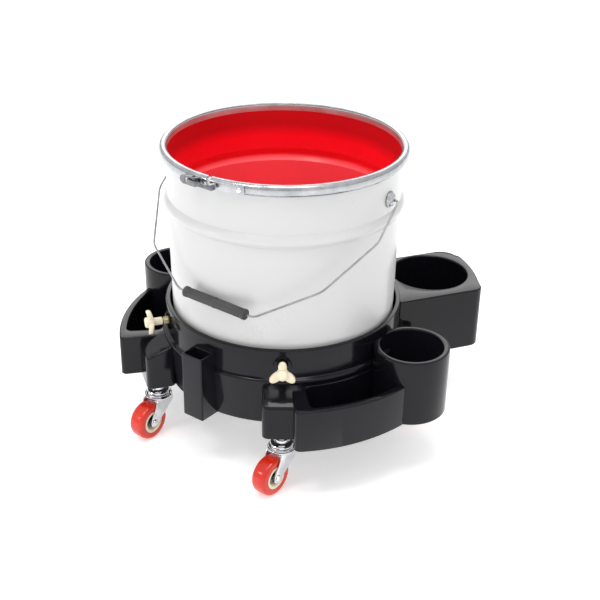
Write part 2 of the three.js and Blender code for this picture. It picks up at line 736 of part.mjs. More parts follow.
addPiece('bucket_shell', makeBucketShell(), LACQUER);
addPiece('bucket_lining', makeBucketLining(), RED);
addPiece('lock_ring', makeLockRing(), ZINC);
addPiece('latch_bracket', makeLatchBracket(), ZINC);
addPiece('latch_lever', makeLatchLever(), ZINC);
addPiece('latch_link', makeLatchLink(), ZINC);
addPiece('latch_strap', makeLatchStrap(), ZINC);
addPiece('strap_rivet', makeStrapRivet(), ZINC);
addPiece('ear_right', makeEar(BAIL_AXIS_AZIMUTH), ZINC);
addPiece('ear_left', makeEar(BAIL_AXIS_AZIMUTH - 180), ZINC);
addPiece('bail_wire', makeBailWire(), ZINC);
addPiece('bail_grip', makeGrip(), GRIP_PLASTIC);
addPiece('dolly_body', makeDollyBody(), BLACK_PLASTIC);
CLAMP_STATIONS.forEach((azimuth, i) => {
  addPiece(`clamp_insert_${i + 1}`, makeClampInsert(azimuth), BRASS);
  addPiece(`clamp_screw_${i + 1}`, makeClampScrew(azimuth), ZINC);
  addPiece(`clamp_knob_${i + 1}`, makeClampKnob(azimuth), CREAM);
});
CASTER_STATIONS.forEach((azimuth, i) => {
  addPiece(`caster_stem_${i + 1}`, makeCasterStem(azimuth), ZINC);
  addPiece(`caster_fork_${i + 1}`, makeCasterFork(azimuth), ZINC);
  addPiece(`caster_axle_${i + 1}`, makeCasterAxle(azimuth), ZINC);
  addPiece(`wheel_hub_${i + 1}`, makeWheelHub(azimuth), CREAM);
  addPiece(`wheel_tyre_${i + 1}`, makeTyre(azimuth), POLYURETHANE);
});

// The origin goes to the bottom centre of the whole object's box.
const bounds = new THREE.Box3().setFromObject(assembly);
const centre = bounds.getCenter(new THREE.Vector3());
for (const mesh of assembly.children) {
  mesh.geometry.translate(-centre.x, -centre.y, -bounds.min.z);
}
assembly.userData.pailAxis = [-centre.x, -centre.y, -bounds.min.z];

export default assembly;
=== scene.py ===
import math

import bmesh
import bpy
from mathutils import Matrix, Vector


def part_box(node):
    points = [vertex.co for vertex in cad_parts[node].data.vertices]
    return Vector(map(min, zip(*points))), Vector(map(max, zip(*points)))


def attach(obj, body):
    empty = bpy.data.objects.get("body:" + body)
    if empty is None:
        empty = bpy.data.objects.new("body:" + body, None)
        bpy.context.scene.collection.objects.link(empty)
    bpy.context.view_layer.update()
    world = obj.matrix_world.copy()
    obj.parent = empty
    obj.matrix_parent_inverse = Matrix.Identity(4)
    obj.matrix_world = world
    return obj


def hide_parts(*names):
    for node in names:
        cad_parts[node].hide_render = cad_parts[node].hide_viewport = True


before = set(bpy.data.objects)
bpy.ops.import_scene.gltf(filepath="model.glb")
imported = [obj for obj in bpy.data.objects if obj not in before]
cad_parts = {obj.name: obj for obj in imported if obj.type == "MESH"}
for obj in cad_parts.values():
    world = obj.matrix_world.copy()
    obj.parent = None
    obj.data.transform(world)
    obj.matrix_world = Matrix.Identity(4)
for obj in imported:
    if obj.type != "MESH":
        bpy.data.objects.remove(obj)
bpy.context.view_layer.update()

# Everything below is drawn in millimetres about the pail's axis, with Z = 0 on the floor.
shell_low, shell_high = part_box("bucket_shell")
AXIS = (shell_low + shell_high) / 2
AXIS.z = 0.0
TO_ROW = Matrix.Translation(AXIS) @ Matrix.Diagonal((0.001, 0.001, 0.001, 1.0))

# Heights.
BASE_Z = 79.4
POCKET_FLOOR_Z = 83.0
RING_TOP_Z = 184.0
LEDGE_Z = 145.0
TRAY_TOP_Z = 136.0
HOLDER_TOP_Z = 169.0
CLAMP_Z = 167.0
FOOT_Z = 85.0
BEAD_Z = 326.0
EAR_Z = 353.0
LATCH_Z = 391.5
RIM_Z = 397.0

# The pail's skins: the outside, the inside and the red lining.
WALL_RADIUS = 149.6
INNER_RADIUS = 148.4
LINING_RADIUS = 148.1
LINING_FACE = 147.3
EAR_SEAT = 149.7
LATCH_AZIMUTH = 251
RIVET_SEAT = 159.2
RING_START = 237.0
RING_END = 595.0

# The bail and its grip.
BAIL_AXIS = 328.5
BAIL_DROOP = 36
BAIL_REACH = 195.0
WIRE_RADIUS = 1.3
GRIP_SLANT = -4
GRIP_HALF = 47.0

# The dolly. Azimuths are in degrees, and the left side mirrors the right about MIRROR.
MIRROR = 53
WELL_RADIUS = 155.0
TRAY_RADIUS = 221.0
TRAY_RIM = 9.5
TRAY_ENDS = (274, 319)
TRAY_POCKET_ENDS = (279.5, 317)
CUP_AZIMUTH = 325.5
CUP_RADIUS = 48.5
CUP_HOLE = 40.5
CUP_CENTRE = 198.0
BLOCK_AZIMUTH = 20
BLOCK_MIDDLE = (228.7, 18.6)
BLOCK_HOLE = 54.0
BLOCK_NEAR = -53.3
BLOCK_FAR = 78.0
BOX_AZIMUTH = 232.5
HOUSING_HALF = 25.0
HOUSING_END = 194.0

# The clamps and the casters, one of each at a station.
CLAMPS = (270, 198, 53)
KNOB_SEAT = 166.3
STATIONS = (270, 198, 115, 53, 351)
TRAILS = (230, 232, 250, 60, 105)
TRAIL_REACH = 22.0
CASTER_RADIUS = 176.0
WHEEL_RADIUS = 25.4

# Shapes that cut the holders run between these heights, clear of them both ways.
CUTTER_LOW = 70.0
CUTTER_HIGH = 190.0

# Sides to a turned piece, and the angle in degrees past which an edge is shaded sharp.
ROUND = 160
PAIL_SIDES = 192
CUTTER_SIDES = 128
SHARP = 32
BEVEL_ANGLE = 35


# ---- the camera -------------------------------------------------------------

def add_camera():
    """A long lens, looking down at the pail from the side where the bail hangs."""
    data = bpy.data.cameras.new("camera")
    data.lens = 66.0
    data.sensor_width = 36.0
    data.clip_end = 50.0
    camera = bpy.data.objects.new("camera", data)
    bpy.context.scene.collection.objects.link(camera)
    pitch, pan, roll = math.radians(27.85), math.radians(0.99), math.radians(1.02)
    turn = Matrix.Rotation(-pan, 4, "Z") @ Matrix.Rotation(math.pi / 2 - pitch, 4, "X")
    place = Matrix.Translation(TO_ROW @ Vector((0, -1313, 682 + RING_TOP_Z)))
    camera.matrix_world = place @ turn @ Matrix.Rotation(roll, 4, "Z")
    bpy.context.scene.camera = camera


add_camera()


# ---- mesh helpers -------------------------------------------------------------

def polar(radius, azimuth, height=0.0):
    """A point at a distance from the pail's axis, with its azimuth in degrees."""
    angle = math.radians(azimuth)
    return Vector((radius * math.cos(angle), radius * math.sin(angle), height))


def shade(mesh, sharp):
    """Smooth shading, apart from edges over the sharp angle."""
    mesh.polygons.foreach_set("use_smooth", [True] * len(mesh.polygons))
    mesh.set_sharp_from_angle(angle=math.radians(sharp))


def outward(azimuth, radius, height):
    """Puts a shape's own +Z along the outward direction at an azimuth."""
    turn = Matrix.Rotation(math.radians(azimuth), 4, "Z")
    return turn @ Matrix.Translation((radius, 0, height)) @ Matrix.Rotation(math.pi / 2, 4, "Y")


def make_object(name, verts, faces, matrix=Matrix(), sharp=SHARP):
    """A mesh object from corners in millimetres, smooth apart from edges over the sharp angle."""
    mesh = bpy.data.meshes.new(name)
    mesh.from_pydata([tuple(v) for v in verts], [], faces)
    bm = bmesh.new()
    bm.from_mesh(mesh)
    bmesh.ops.remove_doubles(bm, verts=bm.verts, dist=0.002)
    bmesh.ops.dissolve_degenerate(bm, edges=bm.edges, dist=0.001)
    bmesh.ops.recalc_face_normals(bm, faces=bm.faces)
    bm.to_mesh(mesh)
    bm.free()
    mesh.transform(TO_ROW @ matrix)
    shade(mesh, sharp)
    obj = bpy.data.objects.new(name, mesh)
    bpy.context.scene.collection.objects.link(obj)
    return obj


def settle(obj):
    """Applies an object's modifiers and shades the result smooth between its sharp edges."""
    bpy.context.view_layer.update()
    evaluated = obj.evaluated_get(bpy.context.evaluated_depsgraph_get())
    mesh = bpy.data.meshes.new_from_object(evaluated)
    obj.modifiers.clear()
    obj.data = mesh
    shade(mesh, SHARP)
    return obj


def bevel(obj, width, segments):
    """Rounds an object's sharp edges, width in millimetres."""
    modifier = obj.modifiers.new("bevel", "BEVEL")
    modifier.width = width / 1000
    modifier.segments = segments
    modifier.limit_method = "ANGLE"
    modifier.angle_limit = math.radians(BEVEL_ANGLE)
    modifier.use_clamp_overlap = True
    return settle(obj)


def join(name, parts):
    """One object from several."""
    bm = bmesh.new()
    for part in parts:
        bm.from_mesh(part.data)
    mesh = bpy.data.meshes.new(name)
    bm.to_mesh(mesh)
    bm.free()
    shade(mesh, SHARP)
    for part in parts:
        bpy.data.objects.remove(part)
    obj = bpy.data.objects.new(name, mesh)
    bpy.context.scene.collection.objects.link(obj)
    return obj


def lathe(name, profile, matrix=Matrix(), sides=ROUND):
    """Turns a closed profile of (radius, height) corners about Z."""
    verts, faces = [], []
    count = len(profile)
    for i in range(sides):
        angle = 2 * math.pi * i / sides
        c, s = math.cos(angle), math.sin(angle)
        verts += [(r * c, r * s, z) for r, z in profile]
    for i in range(sides):
        j = (i + 1) % sides
        for k in range(count):
            m = (k + 1) % count
            faces.append((i * count + k, j * count + k, j * count + m, i * count + m))
    return make_object(name, verts, faces, matrix)


def mirrored(half):
    """A profile made of its upper half and that half's reflection in Z = 0."""
    return half + [(r, -z) for r, z in reversed(half) if z > 0]


def rounded(corners, reach, steps=4, closed=True):
    """Rounds the corners of a flat outline, cutting each one back by reach."""
    points = []
    count = len(corners)
    for i, corner in enumerate(corners):
        here = Vector(corner)
        if not closed and i in (0, count - 1):
            points.append(tuple(here))
            continue
        before = Vector(corners[i - 1])
        after = Vector(corners[(i + 1) % count])
        cut = min(reach, (before - here).length / 2.2, (after - here).length / 2.2)
        start = here + (before - here).normalized() * cut
        end = here + (after - here).normalized() * cut
        for k in range(steps + 1):
            t = k / steps
            points.append(tuple(start * (1 - t) ** 2 + here * 2 * t * (1 - t) + end * t * t))
    return points


def stack(name, loops, matrix=Matrix(), capped=True, sharp=SHARP):
    """Skins a pile of closed loops that all have the same number of points."""
    verts = [v for loop in loops for v in loop]
    count = len(loops[0])
    faces = []
    for level in range(len(loops) - 1):
        low, high = level * count, (level + 1) * count
        for k in range(count):
            m = (k + 1) % count
            faces.append((low + k, low + m, high + m, high + k))
    if capped:
        last = (len(loops) - 1) * count
        faces.append(tuple(reversed(range(count))))
        faces.append(tuple(range(last, last + count)))
    return make_object(name, verts, faces, matrix, sharp)


def plate(name, outline, low, high, matrix=Matrix(), edge=0.6, segments=3):
    """A flat outline raised between two heights, with rounded edges."""
    loops = [[(x, y, low) for x, y in outline], [(x, y, high) for x, y in outline]]
    return bevel(stack(name, loops, matrix), edge, segments)


def holder(name, outer, inner, base, top, floor, rim=2.2, matrix=Matrix()):
    """A moulded pocket: outer wall, rounded rim, inner wall and floor."""
    def moved(here, there, distance, height):
        """The outline here, at a height, with each point moved towards its partner there."""
        loop = []
        for (ax, ay), (bx, by) in zip(here, there):
            across = Vector((bx - ax, by - ay))
            move = across.normalized() * distance if across.length > 0.01 else Vector((0, 0))
            loop.append((ax + move.x, ay + move.y, height))
        return loop

    loops = []
    for distance, height in ((1.2, base), (0, base + 1.2), (0, top - rim)):
        loops.append(moved(outer, inner, distance, height))
    quarter = [math.radians(22.5 * k) for k in range(5)]
    for angle in quarter[1:]:
        loops.append(moved(outer, inner, rim * (1 - math.cos(angle)), top - rim + rim * math.sin(angle)))
    for angle in reversed(quarter):
        loops.append(moved(inner, outer, rim * (1 - math.cos(angle)), top - rim + rim * math.sin(angle)))
    loops.append([(x, y, floor + 3) for x, y in inner])
    centre = Vector((sum(p[0] for p in inner), sum(p[1] for p in inner))) / len(inner)
    shrunk = [tuple(Vector(p) + (centre - Vector(p)).normalized() * 3) for p in inner]
    loops.append([(x, y, floor) for x, y in shrunk])
    return stack(name, loops, matrix)


def tube(name, path, radius, matrix=Matrix(), sides=16):
    """A round section carried along an open path of 3-D points."""
    points = [Vector(p) for p in path]
    rings = []
    normal = None
    for i, here in enumerate(points):
        back = (here - points[max(i - 1, 0)]).normalized()
        ahead = (points[min(i + 1, len(points) - 1)] - here).normalized()
        along = (back + ahead).normalized()
        if normal is None:
            normal = along.orthogonal().normalized()
        normal = (normal - along * normal.dot(along)).normalized()
        side = along.cross(normal)
        ring = []
        for k in range(sides):
            angle = 2 * math.pi * k / sides
            ring.append(here + (normal * math.cos(angle) + side * math.sin(angle)) * radius)
        rings.append(ring)
    return stack(name, rings, matrix, sharp=50)


# ---- materials -----------------------------------------------------------------

def link(tree, source, output, target, entry):
    """Joins one node's output to another node's input."""
    tree.links.new(source.outputs[output], target.inputs[entry])


def colour_ramp(tree, stops):
    """A colour ramp with the given (position, colour) stops, lowest first."""
    ramp = tree.nodes.new("ShaderNodeValToRGB")
    elements = ramp.color_ramp.elements
    for element, (position, colour) in zip(elements, (stops[0], stops[-1])):
        element.position = position
        element.color = (*colour, 1)
    for position, colour in stops[1:-1]:
        elements.new(position).color = (*colour, 1)
    return ramp


def surface(name, dark, light, rough, metal=0.0, coat=0.0, patch=9.0, grain=900.0, bump=0.05, specular=0.5):
    """A material whose colour and roughness drift over patches, with a fine grained surface."""
    material = bpy.data.materials.new(name)
    material.use_nodes = True
    tree = material.node_tree
    shader = tree.nodes["Principled BSDF"]
    shader.inputs["Metallic"].default_value = metal
    shader.inputs["Coat Weight"].default_value = coat
    shader.inputs["Coat Roughness"].default_value = 0.08
    shader.inputs["Specular IOR Level"].default_value = specular
    place = tree.nodes.new("ShaderNodeTexCoord")
    broad = tree.nodes.new("ShaderNodeTexNoise")
    broad.inputs["Scale"].default_value = patch
    broad.inputs["Detail"].default_value = 3.0
    link(tree, place, "Object", broad, "Vector")
    ramp = colour_ramp(tree, [(0.3, dark), (0.7, light)])
    link(tree, broad, "Fac", ramp, "Fac")
    link(tree, ramp, "Color", shader, "Base Color")
    worn = tree.nodes.new("ShaderNodeMapRange")
    worn.inputs["From Min"].default_value = 0.3
    worn.inputs["From Max"].default_value = 0.7
    worn.inputs["To Min"].default_value = rough[0]
    worn.inputs["To Max"].default_value = rough[1]
    fine = tree.nodes.new("ShaderNodeTexNoise")
    fine.inputs["Scale"].default_value = grain
    fine.inputs["Detail"].default_value = 2.0
    link(tree, place, "Object", fine, "Vector")
    blend = tree.nodes.new("ShaderNodeMath")
    blend.operation = "ADD"
    for entry, (noise, weight) in enumerate(((broad, 0.7), (fine, 0.3))):
        share = tree.nodes.new("ShaderNodeMath")
        share.operation = "MULTIPLY"
        share.inputs[1].default_value = weight
        link(tree, noise, "Fac", share, 0)
        link(tree, share, "Value", blend, entry)
    link(tree, blend, "Value", worn, "Value")
    link(tree, worn, "Result", shader, "Roughness")
    rise = tree.nodes.new("ShaderNodeBump")
    rise.inputs["Strength"].default_value = bump
    rise.inputs["Distance"].default_value = 0.0004
    link(tree, fine, "Fac", rise, "Height")
    link(tree, rise, "Normal", shader, "Normal")
    return material


def banded(material, low, high, bands):
    """Tints a material by height, with stops at shares of the way from low to high."""
    tree = material.node_tree
    shader = tree.nodes["Principled BSDF"]
    base = shader.inputs["Base Color"].links[0].from_socket
    place = tree.nodes.new("ShaderNodeTexCoord")
    parts = tree.nodes.new("ShaderNodeSeparateXYZ")
    link(tree, place, "Object", parts, "Vector")
    share = tree.nodes.new("ShaderNodeMapRange")
    share.inputs["From Min"].default_value = low / 1000
    share.inputs["From Max"].default_value = high / 1000
    link(tree, parts, "Z", share, "Value")
    ramp = colour_ramp(tree, bands)
    link(tree, share, "Result", ramp, "Fac")
    tint = tree.nodes.new("ShaderNodeMix")
    tint.data_type = "RGBA"
    tint.blend_type = "MULTIPLY"
    factor, first, second = (tint.inputs[k] for k in (0, 6, 7))
    factor.default_value = 1.0
    tree.links.new(base, first)
    tree.links.new(ramp.outputs["Color"], second)
    tree.links.new(tint.outputs[2], shader.inputs["Base Color"])
    return material


LACQUER = surface("lacquer_white", (0.575, 0.575, 0.575), (0.60, 0.60, 0.605), (0.26, 0.34), coat=0.2,
                  patch=5, grain=420, bump=0.003)
COATING = surface("coating_red", (0.88, 0.88, 0.88), (0.96, 0.96, 0.96), (0.3, 0.42), coat=0.06,
                  patch=7, grain=300, bump=0.01)
# Height bands for the red lining, as shares of the way from foot to rim: paler and pinker below the bead as a
# painted reflection, full red above it, and darker towards the rim as painted shade.
LINING_SHADE_BANDS = [
    (0.0, (1.0, 0.090, 0.120)),
    (0.745, (1.0, 0.080, 0.105)),
    (0.765, (1.0, 0.008, 0.020)),
    (0.86, (1.0, 0.001, 0.012)),
    (0.915, (0.56, 0.001, 0.006)),
    (1.0, (0.60, 0.001, 0.006)),
]
# The lining's red takes the painted shade near the rim and the painted reflection below the bead from these
# bands.
RED = banded(COATING, FOOT_Z, RIM_Z, LINING_SHADE_BANDS)
BARE = surface("tin_bare", (0.50, 0.46, 0.46), (0.66, 0.62, 0.62), (0.25, 0.42), metal=0.8, patch=30,
               grain=700)
ZINC = surface("zinc_bright", (0.34, 0.35, 0.365), (0.50, 0.51, 0.53), (0.20, 0.32), metal=1.0,
               patch=60, grain=900, bump=0.012)
ZINC_DULL = surface("zinc_worked", (0.13, 0.13, 0.14), (0.27, 0.27, 0.28), (0.22, 0.40), metal=1.0,
                    patch=90, grain=900, bump=0.02)
CHROME = surface("plate_bright", (0.62, 0.63, 0.65), (0.82, 0.83, 0.85), (0.06, 0.14), metal=1.0,
                 patch=80, grain=900, bump=0.01)
WIRE_STEEL = surface("wire_drawn", (0.24, 0.24, 0.245), (0.40, 0.40, 0.41), (0.3, 0.5), metal=1.0,
                     patch=50, grain=2200, bump=0.1)
BLACK = surface("moulding_black", (0.0040, 0.0038, 0.0056), (0.0070, 0.0066, 0.0095), (0.10, 0.16),
                patch=10, grain=650, bump=0.02, specular=0.25)
GRIP = surface("grip_grey", (0.028, 0.028, 0.029), (0.050, 0.050, 0.052), (0.42, 0.6), patch=40, grain=1500,
               bump=0.25)
BRASS = surface("brass_turned", (0.20, 0.16, 0.08), (0.34, 0.28, 0.15), (0.2, 0.4), metal=1.0, patch=120,
                grain=1800, bump=0.1)
CREAM = surface("moulding_cream", (0.72, 0.64, 0.46), (0.82, 0.75, 0.58), (0.3, 0.42), coat=0.15, patch=60,
                grain=1200, bump=0.08)
TYRE = surface("tread_red", (0.54, 0.013, 0.001), (0.66, 0.022, 0.003), (0.2, 0.32), coat=0.08, patch=40,
               grain=900, bump=0.05)
RACE = surface("race_dark", (0.10, 0.10, 0.11), (0.22, 0.22, 0.23), (0.2, 0.4), metal=1.0, patch=90,
               grain=1200)


def finish_piece(obj, body, material, slot, *nodes):
    """Gives a piece its material, sets it riding, and hides the CAD nodes it stands for; the slot argument is
    not used.
    """
    obj.data.materials.clear()
    obj.data.materials.append(material)
    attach(obj, body)
    if nodes:
        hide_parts(*nodes)
    return obj


# ---- the pail ----------------------------------------------------------------

def bead_curve(wall, bulge, steps=16):
    """A wall's swell at the bead, from its lower end to its upper one."""
    return [
        (wall + bulge * math.sin(math.pi * k / steps) ** 1.1, BEAD_Z - 9 + 18 * k / steps)
        for k in range(steps + 1)
    ]


def make_pail():
    """The shell, a bare band at its rim, and the coating inside."""
    foot, rim = FOOT_Z, RIM_Z
    outside = [
        (0, foot + 4), (139.5, foot + 4), (141.2, foot + 3.4), (142.2, foot + 1), (143, foot + 0.2),
        (145, foot), (146.5, foot + 0.3), (147, foot + 1.4), (147, foot + 5), (146.6, foot + 6.6),
        (146.1, foot + 8), *bead_curve(WALL_RADIUS, 5.1), (WALL_RADIUS, rim - 13), (150, rim - 11),
        (152.4, rim - 10.2), (154.8, rim - 8.6), (155.8, rim - 5), (155, rim - 1.6), (153, rim),
        (151, rim + 0.3), (149.2, rim - 0.4), (INNER_RADIUS, rim - 2),
    ]
    inside = [
        *reversed(bead_curve(INNER_RADIUS, 5.0)), (144.8, foot + 14), (143.6, foot + 8), (140, foot + 5.4),
        (0, foot + 5.4),
    ]
    shell = lathe("bucket_shell_skin", outside + inside, sides=PAIL_SIDES)
    finish_piece(shell, "bucket", LACQUER, "white_lacquer", "bucket_shell")
    band_profile = [
        (148.35, rim - 8), (148.35, rim - 0.6), (148.1, rim - 0.4), (148.0, rim - 0.8), (148.0, rim - 8),
    ]
    band = lathe("bucket_rim_band", band_profile, sides=PAIL_SIDES)
    finish_piece(band, "bucket", BARE, "white_lacquer")
    back = [
        (0, foot + 5.7), (139.8, foot + 5.7), (143.3, foot + 8.3), (144.5, foot + 14.3),
        *bead_curve(LINING_RADIUS, 4.9), (LINING_RADIUS, rim - 8),
    ]
    front = [
        (147.5, rim - 7.6), *reversed(bead_curve(LINING_FACE, 4.9)), (143.7, foot + 15), (142.4, foot + 9.6),
        (139, foot + 6.5), (0, foot + 6.5),
    ]
    lining = lathe("bucket_lining_skin", back + front, sides=PAIL_SIDES)
    # The lining's material holds painted shade near the rim and a painted reflection below the bead.
    finish_piece(lining, "bucket", RED, "red_lining", "bucket_lining")


def make_lock_ring():
    """A half-round band, bent round the rim and open at the latch."""
    section = [
        (149.2, 1.0), (149.9, 1.6), (151.2, 2.0), (152.7, 2.0), (154.2, 1.6), (155.5, 0.8), (156.5, -0.6),
        (157.1, -2.4), (157.3, -4.6), (157.1, -7.0), (156.5, -9.2), (155.4, -11.0), (153.9, -12.1),
        (151.8, -12.5), (150.4, -12.4), (150.2, -12.0), (150.5, -11.6), (153.2, -11.4), (154.6, -10.2),
        (155.7, -8.4), (156.2, -6), (156.2, -3), (155.6, -0.6), (154.2, 0.7), (152.0, 1.0), (149.5, 0.8),
    ]
    steps = 180
    loops = []
    for i in range(steps + 1):
        azimuth = RING_START + (RING_END - RING_START) * i / steps
        loops.append([polar(r, azimuth, RIM_Z + z) for r, z in section])
    ring = stack("lock_ring_band", loops)
    finish_piece(ring, "bucket", ZINC, "zinc_steel", "lock_ring")


def copy_node(node, name, width):
    """A CAD node's shape with its edges rounded, as a piece of its own."""
    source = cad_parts[node]
    obj = bpy.data.objects.new(name, source.data.copy())
    bpy.context.scene.collection.objects.link(obj)
    bm = bmesh.new()
    bm.from_mesh(obj.data)
    bmesh.ops.remove_doubles(bm, verts=bm.verts, dist=0.000002)
    bmesh.ops.dissolve_limit(bm, angle_limit=math.radians(1.5), verts=bm.verts, edges=bm.edges)
    bm.to_mesh(obj.data)
    bm.free()
    return bevel(obj, width, 2)


def make_latch():
    """The pressings of the ring's over-centre latch, and the rivet in its strap."""
    pressings = (
        ("latch_bracket", "bucket", ZINC_DULL),
        ("latch_strap", "bucket", ZINC),
        ("latch_lever", "latch_lever", ZINC_DULL),
        ("latch_link", "latch_link", ZINC_DULL),
    )
    for node, body, material in pressings:
        piece = copy_node(node, node + "_pressing", 0.3)
        finish_piece(piece, body, material, "zinc_steel", node)
    dome = [(0, 0), (3.2, 0), (3.3, 0.3), (3.0, 0.9), (2.2, 1.4), (1.4, 1.65), (0.9, 1.6), (0, 1.5)]
    rivet = lathe("strap_rivet_dome", dome, outward(LATCH_AZIMUTH, RIVET_SEAT, LATCH_Z), sides=32)
    finish_piece(rivet, "bucket", CHROME, "zinc_steel", "strap_rivet")


def make_ears():
    """A domed ear at each end of the bail's hinge line."""
    dome = [
        (1.9, 0.3), (9.6, 0.3), (10.1, 0.6), (10.2, 1.2), (9.9, 1.9), (8.9, 2.4), (8.2, 3.4), (7.2, 5.0),
        (5.8, 6.2), (4.2, 6.9), (2.6, 7.1), (2.0, 6.7),
    ]
    for side, azimuth in (("right", BAIL_AXIS), ("left", BAIL_AXIS - 180)):
        ear = lathe(f"ear_{side}_dome", dome, outward(azimuth, EAR_SEAT, EAR_Z), sides=48)
        finish_piece(ear, "bucket", ZINC, "zinc_steel", f"ear_{side}")


def bail_matrix():
    """Lays the bail's own X along its hinge line and its +Y towards the grip."""
    turn = Matrix.Rotation(math.radians(BAIL_AXIS - 180), 4, "Z")
    return Matrix.Translation((0, 0, EAR_Z)) @ turn @ Matrix.Rotation(math.radians(-BAIL_DROOP), 4, "X")


def make_bail():
    """The bent wire, drawn flat and laid on its hinge line."""
    leg = [(150.9, 0), (160.8, 0), (162, 4), (162, 62), (124, 143)]
    half_width = 57
    rise = half_width * math.tan(math.radians(GRIP_SLANT))
    middle = [(half_width, BAIL_REACH + rise), (-half_width, BAIL_REACH - rise)]
    corners = leg + middle + [(-x, y) for x, y in reversed(leg)]
    flat = rounded(corners, 7, 6, closed=False)
    wire = tube("bail_wire_drawn", [(x, y, 0) for x, y in flat], WIRE_RADIUS, bail_matrix())
    finish_piece(wire, "bail", WIRE_STEEL, "bail_steel", "bail_wire")
    make_grip()


def make_grip():
    """A sleeve with a collar at each end and one in the middle, and ribs along it."""
    end = GRIP_HALF
    half = [
        (2.0, end), (4.9, end), (6.3, end - 0.4), (6.9, end - 1.2), (6.9, end - 4.6), (6.5, end - 5.3),
        (6.0, end - 5.8), (6.0, 3.4), (6.2, 2.6), (6.8, 2.0), (6.9, 1.4), (6.9, 0),
    ]
    slant = Matrix.Rotation(math.radians(GRIP_SLANT), 4, "Z")
    place = bail_matrix() @ Matrix.Translation((0, BAIL_REACH, 0))
    seat = place @ slant @ Matrix.Rotation(math.pi / 2, 4, "Y")
    parts = [lathe("bail_grip_sleeve", mirrored(half), seat, sides=48)]
    outline = rounded([(5.7, -0.55), (6.45, -0.45), (6.45, 0.45), (5.7, 0.55)], 0.25, 2)
    for angle in range(0, 360, 36):
        rib_seat = seat @ Matrix.Rotation(math.radians(angle), 4, "Z")
        for low, high in ((-40.6, -4.2), (4.2, 40.6)):
            parts.append(plate("rib", outline, low, high, rib_seat, 0.12, 1))
    grip = join("bail_grip_moulding", parts)
    finish_piece(grip, "grip", GRIP, "grip_plastic", "bail_grip")


make_pail()
make_lock_ring()
make_latch()
make_ears()
make_bail()


# ---- the dolly ----------------------------------------------------------------

def make_well_ring():
    """The ring that the pail stands in: its wall, the ledge round it and a floor with a round hole."""
    top, ledge, base = RING_TOP_Z, LEDGE_Z, BASE_Z - 0.2
    profile = [
        (151, top - 0.8), (151.7, top), (155.6, top), (156.6, top - 0.4), (157, top - 1.4),
        (157.3, ledge + 2.2), (157.7, ledge + 0.8), (158.6, ledge + 0.2), (159.8, ledge - 0.1),
        (160.9, ledge - 0.7), (161.8, ledge - 1.6), (162.4, ledge - 2.8), (162.5, ledge - 4.2),
        (157.4, base + 6), (157, base + 0.9), (156.3, base), (154.6, base), (154, base + 0.7),
        (153, base + 2), (62, base + 2), (60.4, base + 2.8), (60.2, base + 4.4), (61, base + 5.5),
        (148, base + 5.5),
        (150.4, base + 6.4), (151, base + 9), (153, ledge), (153, top - 4.5), (152.6, top - 3.4),
        (151, top - 2.2),
    ]
    return lathe("ring", profile, sides=PAIL_SIDES)


def sector(inner, outer, start, end, corner):
    """A bent strip between two radii, with rounded corners and a fixed number of points."""
    points = []
    spread_in = math.degrees(corner / inner)
    spread_out = math.degrees(corner / outer)
    near, far = inner + corner, outer - corner

    def add_side(radii, azimuths, count):
        for k in range(count):
            share = k / (count - 1)
            radius = radii[0] + (radii[1] - radii[0]) * share
            points.append(polar(radius, azimuths[0] + (azimuths[1] - azimuths[0]) * share))

    def add_corner(radius, azimuth, spread, first, last):
        for k in range(1, 8):
            angle = math.radians(first + (last - first) * k / 8)
            points.append(polar(radius + corner * math.sin(angle), azimuth + spread * math.cos(angle)))

    add_side((inner, inner), (start + spread_in, end - spread_in), 41)
    add_corner(near, end - spread_in, spread_in, -90, 0)
    add_side((near, far), (end, end), 5)
    add_corner(far, end - spread_out, spread_out, 0, 90)
    add_side((outer, outer), (end - spread_out, start + spread_out), 41)
    add_corner(far, start + spread_out, -spread_out, 90, 0)
    add_side((far, near), (start, start), 5)
    add_corner(near, start + spread_in, -spread_in, 0, -90)
    return [(p.x, p.y) for p in points]


def flip(points):
    """Mirrors points across the dolly's own plane of symmetry."""
    angle = math.radians(2 * MIRROR)
    c, s = math.cos(angle), math.sin(angle)
    return [(c * x + s * y, s * x - c * y) for x, y in points]


def arc(radius, centre, start, end, steps=12):
    """Points along an arc, from one angle in degrees to another."""
    points = []
    for k in range(steps + 1):
        angle = math.radians(start + (end - start) * k / steps)
        points.append((centre[0] + radius * math.cos(angle), centre[1] + radius * math.sin(angle)))
    return points


def cut_away(obj, cutter):
    """Takes the cutter's space out of an object, and deletes the cutter."""
    modifier = obj.modifiers.new("cut", "BOOLEAN")
    modifier.operation = "DIFFERENCE"
    modifier.solver = "EXACT"
    modifier.object = cutter
    settle(obj)
    bpy.data.objects.remove(cutter)
    return obj


def well_cutter(low_radius, high_radius):
    """The space inside the dolly's ring, which no holder reaches into."""
    profile = [(0, CUTTER_LOW), (low_radius, CUTTER_LOW), (high_radius, CUTTER_HIGH), (0, CUTTER_HIGH)]
    return lathe("cutter", profile, sides=CUTTER_SIDES)


def make_tray(name, mirrored_over):
    """A curved tray, cut back where the cup stands."""
    outer = sector(158, TRAY_RADIUS, *TRAY_ENDS, 6)
    inner = sector(163.5, TRAY_RADIUS - TRAY_RIM, *TRAY_POCKET_ENDS, 8)
    round_cut = arc(CUP_RADIUS - 4, polar(CUP_CENTRE, CUP_AZIMUTH), 0, 360, 112)[:-1]
    if mirrored_over:
        outer, inner, round_cut = flip(outer), flip(inner), flip(round_cut)
    tray = holder(name, outer, inner, BASE_Z, TRAY_TOP_Z, POCKET_FLOOR_Z)
    cutter = stack("cutter", [[(x, y, z) for x, y in round_cut] for z in (CUTTER_LOW, CUTTER_HIGH)])
    return cut_away(tray, cutter)


